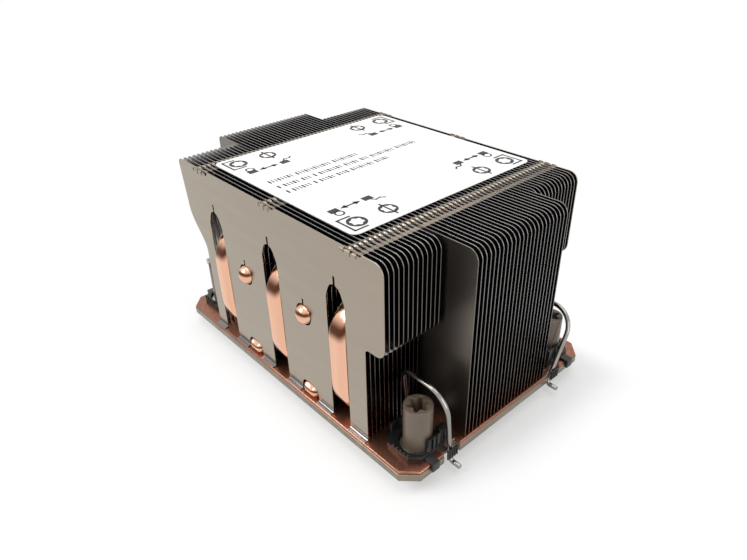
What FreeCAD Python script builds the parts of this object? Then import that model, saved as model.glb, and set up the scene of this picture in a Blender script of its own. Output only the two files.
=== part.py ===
import FreeCAD, Part

import math
import os

# Passive heatsink for a 2U server processor, in millimetres, +Z up.
# X runs along the air flow, Y across the fins, and the origin is the centre
# of the contact face that presses on the processor.
#
# A nickel-plated base carries a copper spreader. Five C-shaped heat pipes lie
# on the spreader, rise outside the fin stack and pass back through it. Each
# corner has a captive nut, a plastic retainer and a wire bail.

V = FreeCAD.Vector

# ---------------------------------------------------------------- base
PLATE_LENGTH = 113.0        # along X
PLATE_WIDTH = 78.0          # along Y
CORNER_CUT = 4.0            # 45 degree cut on each corner of the plate
CONTACT_LENGTH = 70.0       # raised face that touches the processor
CONTACT_WIDTH = 42.0
CONTACT_HEIGHT = 4.0
BASE_THICKNESS = 2.2
SPREADER_THICKNESS = 0.8
SPREADER_INSET = 0.15       # the copper stops this far inside the base's edge
SPREADER_BEVEL = 0.25

# ---------------------------------------------------------------- fins
FIN_THICKNESS = 0.3
STACK_TO_SIDE = 1.76        # middle of the outermost fin to the plate's side
WING_FINS = 13              # in the front group, and again in the rear group
MIDDLE_FINS = 24
FIN_HEIGHT = 56.8           # above the spreader
WING_HALF_LENGTH = 46.3
MIDDLE_HALF_LENGTH = 56.0
WING_EDGE_HEIGHT = 38.0     # bottom of a wing's upright outer edge
UNDERCUT_HEIGHT = 31.0      # where the slope below the wing ends
FIN_CORNER_RADIUS = 3.0
CORNER_STEPS = 1            # straight pieces in a rounded corner of an inner fin
FACE_CORNER_STEPS = 3       # and of an outermost one
FOOT_FLANGE = 1.2           # foot of the outermost fins, bent outwards

# ---------------------------------------------------------------- heat pipes
FRONT_PIPE_SPACING = 28.5   # three pipes rise at the front
REAR_PIPE_OFFSET = 14.3     # two rise at the rear, either side of the middle
PIPE_RADIUS = 3.0
PRESSED_THICKNESS = 4.3     # of the lower run and the leg, which are pressed flat
FRONT_PIPE_HEIGHT = 36.5    # axis of the upper run above the spreader
REAR_PIPE_HEIGHT = 28.7
UPPER_BEND_RADIUS = 9.5
LOWER_BEND_RADIUS = 11.0
ROUNDING_LENGTH = 1.6       # straight stretch over which the pipe turns round
LEG_PROUD = 1.2             # the leg's flat face stands this far out of the stack
UPPER_TIP_REACH = 2.2       # sealed tip beyond the far outermost fin
LOWER_TIP_REACH = 1.2
TIP_LENGTH = 1.8
TIP_TAPER = ((0.5, 0.8), (1.0, 0.4))   # share of the tip's length, share of the section
PIPE_SIDES = 12
BEND_STEPS = 3
PIPE_FIT = 0.05             # solder gap between pipe and fin
RELIEF_FIT = 0.1            # gap between the lower runs and the fins' relief

# Openings of the fins
SLOT_HALF_WIDTH = 3.7       # tall slot that a leg stands in
SLOT_TOP = 8.2              # shoulders' top above the axis of the pipe's upper run
SHOULDER_HEIGHT = 5.0       # the slot's sides lean in over this height
SHOULDER_HALF_WIDTH = 2.4   # where they turn towards the slit
SLIT_HALF_WIDTH = 0.45
SLIT_HEIGHT = 2.2
TIP_HOLE_RADIUS = 3.3       # round hole round a sealed tip
TIP_SLIT_HEIGHT = 1.6
ARCH_CLEARANCE = 0.35       # over the flat run's tip

# ---------------------------------------------------------------- label
LABEL_LENGTH = 64.5
LABEL_WIDTH = 68.0
LABEL_SHIFT_X = -1.0
LABEL_SHIFT_Y = 1.4
LABEL_THICKNESS = 0.2
LABEL_CORNER_RADIUS = 2.0

# ---------------------------------------------------------------- nuts
NUT_EDGE_X = 7.5            # nut axis to the plate's end
NUT_EDGE_Y = 10.5           # nut axis to the plate's side
NUT_RADIUS = 3.95
NUT_TOP = 14.2              # above the spreader
WASHER_THICKNESS = 0.6
WASHER_RADIUS = 4.8
WASHER_HOLE_RADIUS = 3.4
WASHER_SIDES = 16
SHANK_RADIUS = 3.2
SHANK_BELOW_BASE = 1.3
THREAD_RADIUS = 2.1         # minor radius of the thread from below
THREAD_LENGTH = 9.0
SOCKET_DEPTH = 5.5
SOCKET_RADIUS = 2.45        # mean radius of the six-lobe socket
SOCKET_LOBE = 0.4
SOCKET_POINTS = 18
NUT_RUNNING_FIT = 0.08
ROUND_SIDES = 24            # flats round a nut or its hole

# ---------------------------------------------------------------- wire bails
WIRE_RADIUS = 0.7
BAIL_HEIGHT = 20.0          # hinge axis to the axis of the top bar
HINGE_DEPTH = 1.5           # hinge axis below the spreader's top
HINGE_INSET = 5.5           # hinge axis to nut axis, along Y
NUT_TO_LEG = 6.5            # nut axis to the outer leg, along X
INNER_LEG_TO_NUT = 8.7      # the other leg, beside the fins
LEG_TO_FIN = 0.3            # its clearance from the wing fins' feet
FOOT_DROP = 3.5             # hinge axis to the turned-out feet
OUTER_FOOT = 3.6
INNER_FOOT = 3.4
OUTER_CORNER_RADIUS = 7.0
INNER_CORNER_RADIUS = 2.5
FOOT_BEND_RADIUS = 1.3
WIRE_SIDES = 6
WIRE_BEND_STEPS = 3
WIRE_SLOT_FIT = 0.25        # each side of a leg in its slot
WIRE_SLOT_LENGTH = 6.0
REST_LEAN_DEGREES = {       # how far each bail leans outwards at rest
    "front_right": 6.0,
    "front_left": 25.0,
    "rear_right": 25.0,
    "rear_left": 18.0,
}

# ---------------------------------------------------------------- retainers
PAD_THICKNESS = 1.6
PAD_TO_WIRE = 0.4
PAD_BEHIND_HINGE = 0.6
PAD_PAST_NUT = 6.4
PAD_CUT = 2.6
PAD_HOLE_RADIUS = 5.1       # clears the nut's washer
PAD_HOLE_SIDES = 16
POST_WIDTH = 2.6            # along Y
OUTER_POST_LENGTH = 2.4     # along X
OUTER_POST_HEIGHT = 6.2
WALL_THICKNESS = 0.8        # walls that hold the nut's sides
OUTER_WALL_HEIGHT = 5.4
OUTER_WALL_PAST_NUT = 1.2
INNER_WALL_HEIGHT = 4.2
INNER_WALL_PAST_NUT = 3.0
WALL_RIB = 0.5              # three upright ribs on the outer wall's outer face
RIB_PITCH = 1.5
HOOK_WIDTH = 2.4
HOOK_FROM_NUT = 0.4         # hook's inner side, past the nut's axis
HOOK_THICKNESS = 0.8
HOOK_DROP = 1.9
HOOK_FIT = 0.1
TOOTH_COUNT = 5             # comb along the pad's outer side
TOOTH_WIDTH = 0.6
TOOTH_PITCH = 1.3
TOOTH_HEIGHT = 0.9

# ---------------------------------------------------------------- derived places
BASE_TOP = CONTACT_HEIGHT + BASE_THICKNESS
DECK = BASE_TOP + SPREADER_THICKNESS          # what the fins and pipes stand on
FIN_COUNT = 2 * WING_FINS + MIDDLE_FINS
STACK_HALF_DEPTH = PLATE_WIDTH / 2 - STACK_TO_SIDE
FIN_PITCH = 2 * STACK_HALF_DEPTH / (FIN_COUNT - 1)
NUT_X = PLATE_LENGTH / 2 - NUT_EDGE_X
NUT_Y = PLATE_WIDTH / 2 - NUT_EDGE_Y
HINGE_Y = NUT_Y - HINGE_INSET
HINGE_Z = DECK - HINGE_DEPTH
OUTER_LEG_X = NUT_X + NUT_TO_LEG
INNER_LEG_X = NUT_X - INNER_LEG_TO_NUT
FOOT_HALF_LENGTH = INNER_LEG_X - WIRE_RADIUS - LEG_TO_FIN   # of a wing fin
PRESSED_RADIUS = PRESSED_THICKNESS / 2
PRESSED_FLAT = math.pi * (PIPE_RADIUS - PRESSED_RADIUS) / 2   # half of the flat; same girth
PRESSED_HALF_WIDTH = PRESSED_RADIUS + PRESSED_FLAT
RUN_AXIS = PRESSED_RADIUS * math.cos(math.pi / PIPE_SIDES)    # its flat lies on the spreader
LEG_Y = STACK_HALF_DEPTH + FIN_THICKNESS / 2 + LEG_PROUD - PRESSED_RADIUS
BEND_INNER_Y = LEG_Y - max(UPPER_BEND_RADIUS + ROUNDING_LENGTH, LOWER_BEND_RADIUS)
FRONT_PIPES = {
    "left": -FRONT_PIPE_SPACING,
    "centre": 0.0,
    "right": FRONT_PIPE_SPACING,
}
REAR_PIPES = {
    "left": -REAR_PIPE_OFFSET,
    "right": REAR_PIPE_OFFSET,
}
CORNERS = {
    "front_right": (1, -1),
    "front_left": (-1, -1),
    "rear_right": (1, 1),
    "rear_left": (-1, 1),
}


# ---------------------------------------------------------------- helpers
def box(x0, x1, y0, y1, z0, z1):
    """A block between two corners."""
    return Part.makeBox(x1 - x0, y1 - y0, z1 - z0, V(x0, y0, z0))


def flat_face(points):
    """A face bounded by straight lines between 3-D points."""
    return Part.Face(Part.makePolygon(points + points[:1]))


def arc_points(centre_a, centre_b, radius, start, end, steps):
    """Points along an arc in a plane, angles in degrees, both ends included."""
    points = []
    for step in range(steps + 1):
        angle = math.radians(start + (end - start) * step / steps)
        points.append((centre_a + radius * math.cos(angle),
                       centre_b + radius * math.sin(angle)))
    return points


def ring_outline(radius, x, y, z, sides):
    """A many-sided circle, closed, at one height."""
    points = [V(a, b, z) for a, b in arc_points(x, y, radius, 0, 360, sides)[:-1]]
    return Part.makePolygon(points + points[:1])


def disc(radius, height, x, y, z):
    """An upright many-sided cylinder standing on z."""
    return Part.Face(ring_outline(radius, x, y, z, ROUND_SIDES)).extrude(V(0, 0, height))


def rounded_path(corners, steps):
    """Centre line through corners given as (a, b, radius), in one plane.

    Returns (a, b, direction a, direction b) for each of its points.
    """
    points = [V(a, b, 0) for a, b, _ in corners]
    forward = (points[1] - points[0]).normalize()
    path = [(points[0].x, points[0].y, forward.x, forward.y)]
    for before, here, after, corner in zip(points, points[1:], points[2:], corners[1:]):
        radius = corner[2]
        start_way = (here - before).normalize()
        end_way = (after - here).normalize()
        turn = start_way.getAngle(end_way)
        inward = (end_way - start_way * math.cos(turn)).normalize()
        start = here - start_way * (radius * math.tan(turn / 2))
        for step in range(steps + 1):
            angle = turn * step / steps
            point = (start + start_way * (radius * math.sin(angle))
                     + inward * (radius * (1 - math.cos(angle))))
            way = start_way * math.cos(angle) + inward * math.sin(angle)
            path.append((point.x, point.y, way.x, way.y))
    path.append((points[-1].x, points[-1].y, end_way.x, end_way.y))
    return path


def tube(stations, across, place, sides):
    """A solid along stations of (a, b, direction a, direction b, radius, flat).

    Its section is a circle of that radius, pulled apart by the flat on each
    side along across, which is the direction out of the path's plane. place
    turns (a, b) into a point. Every face is flat.
    """
    rings = []
    for a, b, way_a, way_b, radius, flat in stations:
        centre = place(a, b)
        side = (place(a + way_a, b + way_b) - centre).cross(across)
        ring = []
        for corner in range(sides):
            angle = 2 * math.pi * (corner + 0.5) / sides
            pull = flat if math.cos(angle) > 0 else -flat
            ring.append(centre + across * (radius * math.cos(angle) + pull)
                        + side * (radius * math.sin(angle)))
        rings.append(ring)
    faces = [flat_face(rings[0]), flat_face(rings[-1])]
    for near, far in zip(rings, rings[1:]):
        for corner in range(sides):
            faces.append(flat_face([near[corner - 1], near[corner],
                                    far[corner], far[corner - 1]]))
    solid = Part.Solid(Part.Shell(faces))
    if solid.Volume < 0:
        solid.reverse()
    return solid


def save(name, shape):
    shape.exportStep("parts/" + name + ".step")


# ---------------------------------------------------------------- base and spreader
def plate_face(inset, z):
    """Outline of the plate: cut corners, and a notch for each bail's outer leg."""
    half_x = PLATE_LENGTH / 2 - inset
    half_y = PLATE_WIDTH / 2 - inset
    notch_x = OUTER_LEG_X - WIRE_RADIUS - WIRE_SLOT_FIT - inset
    notch_far = HINGE_Y + WIRE_SLOT_LENGTH / 2 + inset
    notch_near = HINGE_Y - WIRE_SLOT_LENGTH / 2 - inset
    quarter = [
        (half_x - CORNER_CUT, half_y),
        (half_x, half_y - CORNER_CUT),
        (half_x, notch_far),
        (notch_x, notch_far),
        (notch_x, notch_near),
        (half_x, notch_near),
    ]
    outline = []
    for sign_x, sign_y in ((1, 1), (1, -1), (-1, -1), (-1, 1)):
        corner = [V(sign_x * x, sign_y * y, z) for x, y in quarter]
        if sign_x * sign_y < 0:
            corner.reverse()
        outline += corner
    return flat_face(outline)


def corner_openings(z0, z1):
    """Nut holes and inner wire slots through the plate, for all four corners."""
    cutters = []
    slot_half_x = WIRE_RADIUS + WIRE_SLOT_FIT
    for sign_x, sign_y in CORNERS.values():
        cutters.append(disc(SHANK_RADIUS + NUT_RUNNING_FIT, z1 - z0,
                            sign_x * NUT_X, sign_y * NUT_Y, z0))
        slot_x = sign_x * INNER_LEG_X
        slot_y = sign_y * HINGE_Y
        cutters.append(box(slot_x - slot_half_x, slot_x + slot_half_x,
                           slot_y - WIRE_SLOT_LENGTH / 2,
                           slot_y + WIRE_SLOT_LENGTH / 2, z0, z1))
    return cutters


def make_base_plate():
    plate = plate_face(0, CONTACT_HEIGHT).extrude(V(0, 0, BASE_THICKNESS))
    plate = plate.cut(corner_openings(CONTACT_HEIGHT - 1, BASE_TOP + 1))
    contact = box(-CONTACT_LENGTH / 2, CONTACT_LENGTH / 2,
                  -CONTACT_WIDTH / 2, CONTACT_WIDTH / 2, 0, CONTACT_HEIGHT)
    return plate.fuse(contact).removeSplitter()


def make_spreader():
    sheet = plate_face(SPREADER_INSET, BASE_TOP)
    sheet = sheet.extrude(V(0, 0, SPREADER_THICKNESS))
    rim = [edge for edge in sheet.Edges
           if all(abs(v.Z - DECK) < 0.001 for v in edge.Vertexes)]
    sheet = sheet.makeChamfer(SPREADER_BEVEL, rim)
    return sheet.cut(corner_openings(BASE_TOP - 1, DECK + 1))


# ---------------------------------------------------------------- fins
def half_outline(is_wing, steps):
    """Right-hand edge of a fin from its foot to its top, as (x, height)."""
    radius = FIN_CORNER_RADIUS
    reach = WING_HALF_LENGTH if is_wing else MIDDLE_HALF_LENGTH
    top = arc_points(reach - radius, FIN_HEIGHT - radius, radius, 0, 90, steps)
    if not is_wing:
        return [(reach, 0.0)] + top
    lower = arc_points(reach - radius, WING_EDGE_HEIGHT, radius, -45, 0, steps)
    return [(FOOT_HALF_LENGTH, 0.0), (FOOT_HALF_LENGTH, UNDERCUT_HEIGHT)] + lower + top


def leg_slot(x, height):
    """Tall slot for a leg and its bends: leaning shoulders that end in a slit."""
    top = height + SLOT_TOP
    right = [(SLOT_HALF_WIDTH, 0.0),
             (SLOT_HALF_WIDTH, top - SHOULDER_HEIGHT),
             (SHOULDER_HALF_WIDTH, top - SHOULDER_HEIGHT / 3),
             (SLIT_HALF_WIDTH, top),
             (SLIT_HALF_WIDTH, top + SLIT_HEIGHT)]
    left = [(-dx, dz) for dx, dz in right]
    return [(x + dx, dz) for dx, dz in left + right[::-1]]


def plain_slot(x, half_width, height):
    """A straight slot, open to the fin's foot."""
    return [(x - half_width, 0.0), (x - half_width, height),
            (x + half_width, height), (x + half_width, 0.0)]


def tip_arch(x):
    """The outermost fin's low arch over a flat run's tip."""
    half_width = PRESSED_HALF_WIDTH + ARCH_CLEARANCE
    height = PRESSED_THICKNESS + ARCH_CLEARANCE
    return [(x - half_width, 0.0), (x - half_width, height * 0.6),
            (x - half_width * 0.6, height), (x + half_width * 0.6, height),
            (x + half_width, height * 0.6), (x + half_width, 0.0)]


def square_hole(x, height):
    """A punched hole that an upper run passes through."""
    half = PIPE_RADIUS + PIPE_FIT
    return [(x - half, height - half), (x + half, height - half),
            (x + half, height + half), (x - half, height + half)]


def fin(half, cut_outs, holes, y):
    """A fin: half an outline and its mirror, a foot line with cut-outs, and holes."""
    left = [(-x, z) for x, z in half]
    foot = [point for cut_out in sorted(cut_outs) for point in cut_out]
    wires = []
    for outline in [foot + half + left[::-1]] + holes:
        points = [V(x, y - FIN_THICKNESS / 2, DECK + z) for x, z in outline]
        wires.append(Part.makePolygon(points + points[:1]))
    return Part.Face(wires).extrude(V(0, FIN_THICKNESS, 0))


def fin_y(index):
    """Fins are counted from the front."""
    return index * FIN_PITCH - STACK_HALF_DEPTH


def fin_group(first, count, is_wing):
    """Neighbouring fins. Those that the bends reach into have tall slots for the
    legs; the others have one wide relief over all the lower runs."""
    half = half_outline(is_wing, CORNER_STEPS)
    run_height = PRESSED_THICKNESS + RELIEF_FIT
    run_half_width = PRESSED_HALF_WIDTH + RELIEF_FIT
    relief_half_width = FRONT_PIPE_SPACING + run_half_width
    front = [(x, FRONT_PIPE_HEIGHT) for x in FRONT_PIPES.values()]
    rear = [(x, REAR_PIPE_HEIGHT) for x in REAR_PIPES.values()]
    fins = []
    for index in range(first, first + count):
        y = fin_y(index)
        if abs(y) + FIN_THICKNESS < BEND_INNER_Y:
            cut_outs = [plain_slot(0, relief_half_width, run_height)]
            holes = [square_hole(*pipe) for pipe in front + rear]
        else:
            rising, passing = (front, rear) if y < 0 else (rear, front)
            cut_outs = [plain_slot(x, SLOT_HALF_WIDTH, height + PIPE_RADIUS + PIPE_FIT)
                        for x, height in rising]
            cut_outs += [plain_slot(x, run_half_width, run_height) for x, _ in passing]
            holes = [square_hole(*pipe) for pipe in passing]
        fins.append(fin(half, cut_outs, holes, y))
    return Part.makeCompound(fins)


def outermost_fin(sign_y, rising, passing, rising_height, passing_height):
    """Front or rear face of the stack, with its pipes' openings and its foot."""
    cut_outs = [leg_slot(x, rising_height) for x in rising]
    cut_outs += [tip_arch(x) for x in passing]
    y = sign_y * STACK_HALF_DEPTH
    sheet = fin(half_outline(True, FACE_CORNER_STEPS), cut_outs, [], y)
    for x in passing:
        start = V(x, y - FIN_THICKNESS, DECK + passing_height)
        hole = Part.makeCylinder(TIP_HOLE_RADIUS, 2 * FIN_THICKNESS, start, V(0, 1, 0))
        slit = box(x - SLIT_HALF_WIDTH, x + SLIT_HALF_WIDTH,
                   y - FIN_THICKNESS, y + FIN_THICKNESS, DECK + passing_height,
                   DECK + passing_height + TIP_HOLE_RADIUS + TIP_SLIT_HEIGHT)
        sheet = sheet.cut([hole, slit])
    face_y = y + sign_y * FIN_THICKNESS / 2
    y0, y1 = sorted((face_y, face_y + sign_y * FOOT_FLANGE))
    openings = [x for points in sorted(cut_outs) for x in (points[0][0], points[-1][0])]
    ends = [-FOOT_HALF_LENGTH] + openings + [FOOT_HALF_LENGTH]
    for x0, x1 in zip(ends[0::2], ends[1::2]):
        sheet = sheet.fuse(box(x0, x1, y0, y1, DECK, DECK + FIN_THICKNESS))
    return sheet.removeSplitter()


# ---------------------------------------------------------------- heat pipes
def heat_pipe(x, sign_y, height):
    """A C-shaped pipe that lies on the spreader and rises on the sign_y side."""
    lower_tip = -STACK_HALF_DEPTH - LOWER_TIP_REACH + TIP_LENGTH
    upper_tip = -STACK_HALF_DEPTH - UPPER_TIP_REACH + TIP_LENGTH
    line = rounded_path([
        (lower_tip, RUN_AXIS, 0),
        (LEG_Y, RUN_AXIS, LOWER_BEND_RADIUS),
        (LEG_Y, height, UPPER_BEND_RADIUS),
        (LEG_Y - UPPER_BEND_RADIUS - ROUNDING_LENGTH, height, 0),
    ], BEND_STEPS)
    stations = [(*point, PRESSED_RADIUS, PRESSED_FLAT) for point in line[:-1]]
    stations.append((*line[-1], PIPE_RADIUS, 0))
    stations.append((upper_tip, height, -1, 0, PIPE_RADIUS, 0))
    for share, scale in TIP_TAPER:
        stations.append((upper_tip - TIP_LENGTH * share, height, -1, 0,
                         PIPE_RADIUS * scale, 0))
        stations.insert(0, (lower_tip - TIP_LENGTH * share, RUN_AXIS, 1, 0,
                            PRESSED_RADIUS * scale, PRESSED_FLAT * scale))

    def place(y, z):
        return V(x, sign_y * y, DECK + z)

    return tube(stations, V(1, 0, 0), place, PIPE_SIDES)


# ---------------------------------------------------------------- label
def make_label():
    """The printed film that lies on the fins' top edges."""
    half_x = LABEL_LENGTH / 2
    half_y = LABEL_WIDTH / 2
    radius = LABEL_CORNER_RADIUS
    outline = []
    for turn, (sign_x, sign_y) in enumerate(((1, 1), (-1, 1), (-1, -1), (1, -1))):
        outline += arc_points(sign_x * (half_x - radius), sign_y * (half_y - radius),
                              radius, 90 * turn, 90 * turn + 90, FACE_CORNER_STEPS)
    z = DECK + FIN_HEIGHT
    face = flat_face([V(x + LABEL_SHIFT_X, y + LABEL_SHIFT_Y, z) for x, y in outline])
    return face.extrude(V(0, 0, LABEL_THICKNESS))


# ---------------------------------------------------------------- captive nuts
def make_washers():
    """A flat steel washer on the spreader under each nut's shoulder."""
    washers = []
    for sign_x, sign_y in CORNERS.values():
        face = Part.Face([ring_outline(radius, sign_x * NUT_X, sign_y * NUT_Y, DECK, WASHER_SIDES)
                          for radius in (WASHER_RADIUS, WASHER_HOLE_RADIUS)])
        washers.append(face.extrude(V(0, 0, WASHER_THICKNESS)))
    return Part.makeCompound(washers)


def six_lobe_socket(x, y, top):
    """Driver socket: its radius swings six times round the circle."""
    points = []
    for step in range(SOCKET_POINTS):
        angle = 2 * math.pi * step / SOCKET_POINTS
        radius = SOCKET_RADIUS + SOCKET_LOBE * math.cos(6 * angle)
        points.append(V(x + radius * math.cos(angle), y + radius * math.sin(angle),
                        top - SOCKET_DEPTH))
    return flat_face(points).extrude(V(0, 0, SOCKET_DEPTH + 1))


def make_nut(sign_x, sign_y):
    x = sign_x * NUT_X
    y = sign_y * NUT_Y
    top = DECK + NUT_TOP
    seat = DECK + WASHER_THICKNESS + NUT_RUNNING_FIT
    bottom = CONTACT_HEIGHT - SHANK_BELOW_BASE
    nut = disc(NUT_RADIUS, top - seat, x, y, seat)
    nut = nut.fuse(disc(SHANK_RADIUS, seat - bottom, x, y, bottom))
    thread = Part.makeCylinder(THREAD_RADIUS, THREAD_LENGTH, V(x, y, bottom))
    return nut.cut([six_lobe_socket(x, y, top), thread])


# ---------------------------------------------------------------- wire bails
def make_bail(sign_x, sign_y, lean):
    """A bent wire loop whose legs pass the plate and end in turned-out feet."""
    corners = [
        (OUTER_LEG_X + OUTER_FOOT, -FOOT_DROP, 0),
        (OUTER_LEG_X, -FOOT_DROP, FOOT_BEND_RADIUS),
        (OUTER_LEG_X, BAIL_HEIGHT, OUTER_CORNER_RADIUS),
        (INNER_LEG_X, BAIL_HEIGHT, INNER_CORNER_RADIUS),
        (INNER_LEG_X, -FOOT_DROP, FOOT_BEND_RADIUS),
        (INNER_LEG_X - INNER_FOOT, -FOOT_DROP, 0),
    ]
    path = rounded_path(corners, WIRE_BEND_STEPS)
    stations = [(*point, WIRE_RADIUS, 0) for point in path]

    def place(x, z):
        return V(sign_x * x, sign_y * HINGE_Y, HINGE_Z + z)

    bail = tube(stations, V(0, 1, 0), place, WIRE_SIDES)
    bail.rotate(V(0, sign_y * HINGE_Y, HINGE_Z), V(1, 0, 0), -sign_y * lean)
    return bail


# ---------------------------------------------------------------- retainers
def make_retainer(sign_x, sign_y):
    """Modelled at the +X +Y corner, then mirrored to its own corner."""
    x0 = INNER_LEG_X + WIRE_RADIUS + PAD_TO_WIRE
    x1 = OUTER_LEG_X - WIRE_RADIUS - PAD_TO_WIRE
    y0 = HINGE_Y - PAD_BEHIND_HINGE
    y1 = NUT_Y + PAD_PAST_NUT
    top = DECK + PAD_THICKNESS
    outline = [(x0, y0), (x1, y0), (x1, y1 - PAD_CUT), (x1 - PAD_CUT, y1),
               (x0 + PAD_CUT, y1), (x0, y1 - PAD_CUT)]
    pad = flat_face([V(x, y, DECK) for x, y in outline]).extrude(V(0, 0, PAD_THICKNESS))
    hole = Part.Face(ring_outline(PAD_HOLE_RADIUS, NUT_X, NUT_Y, DECK - 1, PAD_HOLE_SIDES))
    hole = hole.extrude(V(0, 0, PAD_THICKNESS + 2))

    post_y = y0 + POST_WIDTH
    outer_x = x1 - WALL_RIB - WALL_THICKNESS
    outer_y = NUT_Y + OUTER_WALL_PAST_NUT
    pieces = [box(x1 - OUTER_POST_LENGTH, x1, y0, post_y, top, DECK + OUTER_POST_HEIGHT),
              box(outer_x, outer_x + WALL_THICKNESS, y0, outer_y, top, DECK + OUTER_WALL_HEIGHT),
              box(x0, x0 + WALL_THICKNESS, y0, NUT_Y + INNER_WALL_PAST_NUT,
                  top, DECK + INNER_WALL_HEIGHT)]
    for rib in range(3):
        rib_y = outer_y - WALL_RIB - rib * RIB_PITCH
        pieces.append(box(x1 - WALL_RIB, x1, rib_y, rib_y + WALL_RIB,
                          top, DECK + OUTER_WALL_HEIGHT))

    comb_x = NUT_X - ((TOOTH_COUNT - 1) * TOOTH_PITCH + TOOTH_WIDTH) / 2
    for tooth in range(TOOTH_COUNT):
        tooth_x = comb_x + tooth * TOOTH_PITCH
        pieces.append(box(tooth_x, tooth_x + TOOTH_WIDTH, y1 - TOOTH_WIDTH, y1,
                          top, top + TOOTH_HEIGHT))

    hook_y = NUT_Y + HOOK_FROM_NUT
    edge = PLATE_LENGTH / 2 + HOOK_FIT
    pieces.append(box(x1, edge + HOOK_THICKNESS, hook_y, hook_y + HOOK_WIDTH,
                      DECK, DECK + HOOK_THICKNESS))
    pieces.append(box(edge, edge + HOOK_THICKNESS, hook_y, hook_y + HOOK_WIDTH,
                      DECK - HOOK_DROP, DECK))

    body = pad.cut(hole).fuse(pieces).removeSplitter()
    if sign_x < 0:
        body = body.mirror(V(0, 0, 0), V(1, 0, 0))
    if sign_y < 0:
        body = body.mirror(V(0, 0, 0), V(0, 1, 0))
    return body


# ---------------------------------------------------------------- build
os.makedirs("parts", exist_ok=True)

save("base_plate", make_base_plate())
save("copper_spreader", make_spreader())
save("front_fin", outermost_fin(-1, FRONT_PIPES.values(), REAR_PIPES.values(),
                                FRONT_PIPE_HEIGHT, REAR_PIPE_HEIGHT))
save("front_wing_fins", fin_group(1, WING_FINS - 1, True))
save("middle_fins", fin_group(WING_FINS, MIDDLE_FINS, False))
save("rear_wing_fins", fin_group(WING_FINS + MIDDLE_FINS, WING_FINS - 1, True))
save("rear_fin", outermost_fin(1, REAR_PIPES.values(), FRONT_PIPES.values(),
                               REAR_PIPE_HEIGHT, FRONT_PIPE_HEIGHT))
for side, pipe_x in FRONT_PIPES.items():
    save("heat_pipe_front_" + side, heat_pipe(pipe_x, -1, FRONT_PIPE_HEIGHT))
for side, pipe_x in REAR_PIPES.items():
    save("heat_pipe_rear_" + side, heat_pipe(pipe_x, 1, REAR_PIPE_HEIGHT))
save("label", make_label())
save("washers", make_washers())
for corner_name, (corner_x, corner_y) in CORNERS.items():
    save("nut_" + corner_name, make_nut(corner_x, corner_y))
    save("retainer_" + corner_name, make_retainer(corner_x, corner_y))
    save("bail_" + corner_name, make_bail(corner_x, corner_y, REST_LEAN_DEGREES[corner_name]))
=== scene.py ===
# %% [markdown]
# # A passive processor heatsink
#
# This lesson dresses the CAD model of a finned heatsink for a server processor. The CAD model
# gives every piece its place. Here each piece gets its finish, and the pieces whose roundness or
# folds matter are made again with more detail, at the same size and in the same place.

# %% Load the frame
import math

import bpy
import bmesh
from mathutils import Matrix, Vector


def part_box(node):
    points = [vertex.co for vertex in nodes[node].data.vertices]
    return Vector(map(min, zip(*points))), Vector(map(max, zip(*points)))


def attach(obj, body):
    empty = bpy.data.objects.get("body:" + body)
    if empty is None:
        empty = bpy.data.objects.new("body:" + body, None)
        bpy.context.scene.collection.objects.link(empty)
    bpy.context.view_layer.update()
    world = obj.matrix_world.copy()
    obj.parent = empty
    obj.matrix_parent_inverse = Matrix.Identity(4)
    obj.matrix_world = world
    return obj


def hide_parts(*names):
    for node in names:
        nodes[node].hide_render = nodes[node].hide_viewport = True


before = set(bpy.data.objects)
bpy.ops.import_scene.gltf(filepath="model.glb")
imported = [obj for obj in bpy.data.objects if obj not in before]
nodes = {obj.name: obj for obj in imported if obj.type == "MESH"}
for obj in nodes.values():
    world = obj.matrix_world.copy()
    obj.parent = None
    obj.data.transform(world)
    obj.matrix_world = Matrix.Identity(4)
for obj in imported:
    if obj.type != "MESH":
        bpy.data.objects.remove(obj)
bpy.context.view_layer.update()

# %% [markdown]
# ## Sizes
#
# The script works in metres, so millimetres pass through one factor. Places are read from the
# boxes of the CAD nodes wherever possible: when the model changes, the dressing follows.

# %% Sizes and places
MM = 0.001
ROOT = "heatsink"
# The signs of x and y in each corner of the plate.
CORNERS = {"front_right": (1, -1), "front_left": (-1, -1),
           "rear_right": (1, 1), "rear_left": (-1, 1)}


def size_of(node):
    low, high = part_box(node)
    return Vector(low), Vector(high)


DECK = size_of("copper_spreader")[1].z
FIN_TOP = size_of("front_fin")[1].z
print("Deck height", DECK, "fin top", FIN_TOP)

# %% [markdown]
# ## Colours and shader helpers
#
# A colour that someone picks on a screen is an sRGB value. Blender's shaders expect linear
# values, so one function converts a hex code. A second helper adds a node and sets its inputs.


# %% Colour and node helpers
def colour(hex_code):
    """The linear colour of a hex code, by the two pieces of the sRGB curve."""
    channels = [int(hex_code[i:i + 2], 16) / 255 for i in (1, 3, 5)]
    linear = [c / 12.92 if c <= 0.04045 else ((c + 0.055) / 1.055) ** 2.4 for c in channels]
    return (*linear, 1.0)


def add_node(tree, kind, inputs=None, **settings):
    """Adds a node. An input is given a value, or another node's output to link."""
    node = tree.nodes.new(kind)
    for name, value in settings.items():
        setattr(node, name, value)
    for name, value in (inputs or {}).items():
        socket = node.inputs[name]
        if isinstance(value, bpy.types.NodeSocket):
            tree.links.new(value, socket)
        else:
            socket.default_value = value
    return node


def new_material(name, base, metallic, roughness):
    material = bpy.data.materials.new(name)
    material.use_nodes = True
    tree = material.node_tree
    shader = tree.nodes["Principled BSDF"]
    shader.inputs["Base Color"].default_value = colour(base)
    shader.inputs["Metallic"].default_value = metallic
    shader.inputs["Roughness"].default_value = roughness
    return material, tree, shader


print("Mid grey in linear light:", colour("#808080")[0])

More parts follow.
